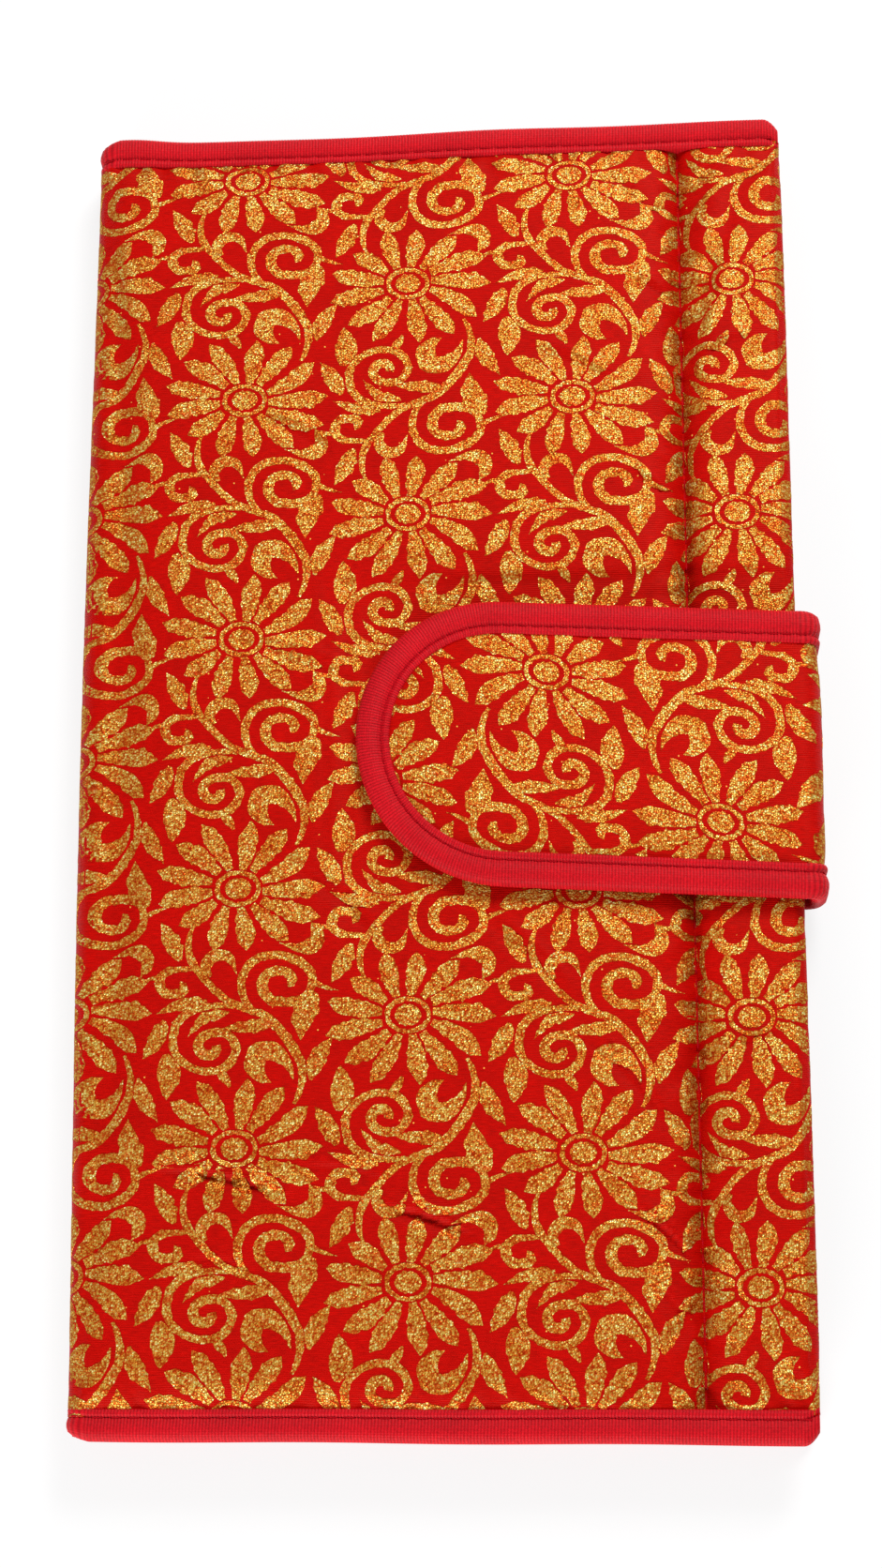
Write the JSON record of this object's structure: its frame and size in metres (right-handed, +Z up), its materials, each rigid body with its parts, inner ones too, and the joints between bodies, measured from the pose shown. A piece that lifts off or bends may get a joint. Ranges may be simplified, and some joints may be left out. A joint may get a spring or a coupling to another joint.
{
  "type": "folding jewellery organiser",
  "caption": "Padded brocade folding case with taped ends, zipped clear pockets inside both covers, a soft folding spine and a round-tipped closing tab that wraps over the front.",
  "frame": {"origin": "middle of the back cover's flat underside, on which the closed case lies", "axes": "+Y along the case's length towards the top end, +Z up through the front cover, +X from the spine to the open edge"},
  "size_m": [0.1544, 0.28, 0.0197],
  "materials": {
    "brocade": "red satin ground with woven gold flowers and scrolls",
    "tape": "ribbed crimson tape",
    "lining": "plain red satin",
    "foam": "soft wadding",
    "film": "clear soft film",
    "zip": "woven tape with coil teeth",
    "metal": "polished",
    "hook_and_loop": "napped"
  },
  "bodies": {
    "back_cover": {"back_brocade": "brocade", "back_foam": "foam", "back_lining": "lining", "back_top_binding": "tape", "back_bottom_binding": "tape", "back_pocket_tape": "tape", "back_upper_pocket": "film", "back_upper_zip_top": "zip", "back_upper_zip_bottom": "zip", "back_middle_pocket": "film", "back_middle_zip_top": "zip", "back_middle_zip_bottom": "zip", "back_lower_pocket": "film", "back_lower_zip_top": "zip", "back_lower_zip_bottom": "zip", "tab_root": "brocade"},
    "spine": {"spine_brocade": "brocade", "spine_foam": "foam", "spine_top_binding": "tape", "spine_bottom_binding": "tape"},
    "front_cover": {"front_brocade": "brocade", "front_foam": "foam", "front_lining": "lining", "front_top_binding": "tape", "front_bottom_binding": "tape", "front_pocket_tape": "tape", "front_upper_pocket": "film", "front_upper_zip_top": "zip", "front_upper_zip_bottom": "zip", "front_middle_pocket": "film", "front_middle_zip_top": "zip", "front_middle_zip_bottom": "zip", "front_lower_pocket": "film", "front_lower_zip_top": "zip", "front_lower_zip_bottom": "zip", "loop_patch": "hook_and_loop"},
    "tab_wrap": {"tab_wrap": "brocade", "tab_wrap_top_binding": "tape", "tab_wrap_bottom_binding": "tape"},
    "tab": {"tab_brocade": "brocade", "tab_foam": "foam", "tab_lining": "lining", "tab_binding": "tape", "hook_patch": "hook_and_loop"},
    "back_upper_runner": {"back_upper_slider": "metal", "back_upper_pull": "metal"},
    "back_middle_runner": {"back_middle_slider": "metal", "back_middle_pull": "metal"},
    "back_lower_runner": {"back_lower_slider": "metal", "back_lower_pull": "metal"},
    "front_upper_runner": {"front_upper_slider": "metal", "front_upper_pull": "metal"},
    "front_middle_runner": {"front_middle_slider": "metal", "front_middle_pull": "metal"},
    "front_lower_runner": {"front_lower_slider": "metal", "front_lower_pull": "metal"}
  },
  "joints": [
    {"name": "spine_fold", "type": "hinge", "parent": "back_cover", "child": "spine", "pos_m": [-0.073, 0, 0.002], "axis": [0, -1, 0], "range_deg": [0, 90]},
    {"name": "cover_fold", "type": "hinge", "parent": "spine", "child": "front_cover", "pos_m": [-0.073, 0, 0.0133], "axis": [0, -1, 0], "range_deg": [0, 90]},
    {"name": "tab_swing", "type": "hinge", "parent": "back_cover", "child": "tab_wrap", "pos_m": [0.078, 0, 0.0056], "axis": [0, 1, 0], "range_deg": [0, 90]},
    {"name": "tab_lift", "type": "hinge", "parent": "tab_wrap", "child": "tab", "pos_m": [0.078, 0, 0.0183], "axis": [0, 1, 0], "range_deg": [0, 90]},
    {"name": "back_upper_zip", "type": "slide", "parent": "back_cover", "child": "back_upper_runner", "axis": [-1, 0, 0], "range_m": [0, 0.1]},
    {"name": "back_middle_zip", "type": "slide", "parent": "back_cover", "child": "back_middle_runner", "axis": [-1, 0, 0], "range_m": [0, 0.1]},
    {"name": "back_lower_zip", "type": "slide", "parent": "back_cover", "child": "back_lower_runner", "axis": [-1, 0, 0], "range_m": [0, 0.1]},
    {"name": "front_upper_zip", "type": "slide", "parent": "front_cover", "child": "front_upper_runner", "axis": [-1, 0, 0], "range_m": [0, 0.1]},
    {"name": "front_middle_zip", "type": "slide", "parent": "front_cover", "child": "front_middle_runner", "axis": [-1, 0, 0], "range_m": [0, 0.1]},
    {"name": "front_lower_zip", "type": "slide", "parent": "front_cover", "child": "front_lower_runner", "axis": [-1, 0, 0], "range_m": [0, 0.1]}
  ],
  "couplings": [
    {"joint": "cover_fold", "follows": "spine_fold", "ratio": 1},
    {"joint": "tab_lift", "follows": "tab_swing", "ratio": 1}
  ]
}
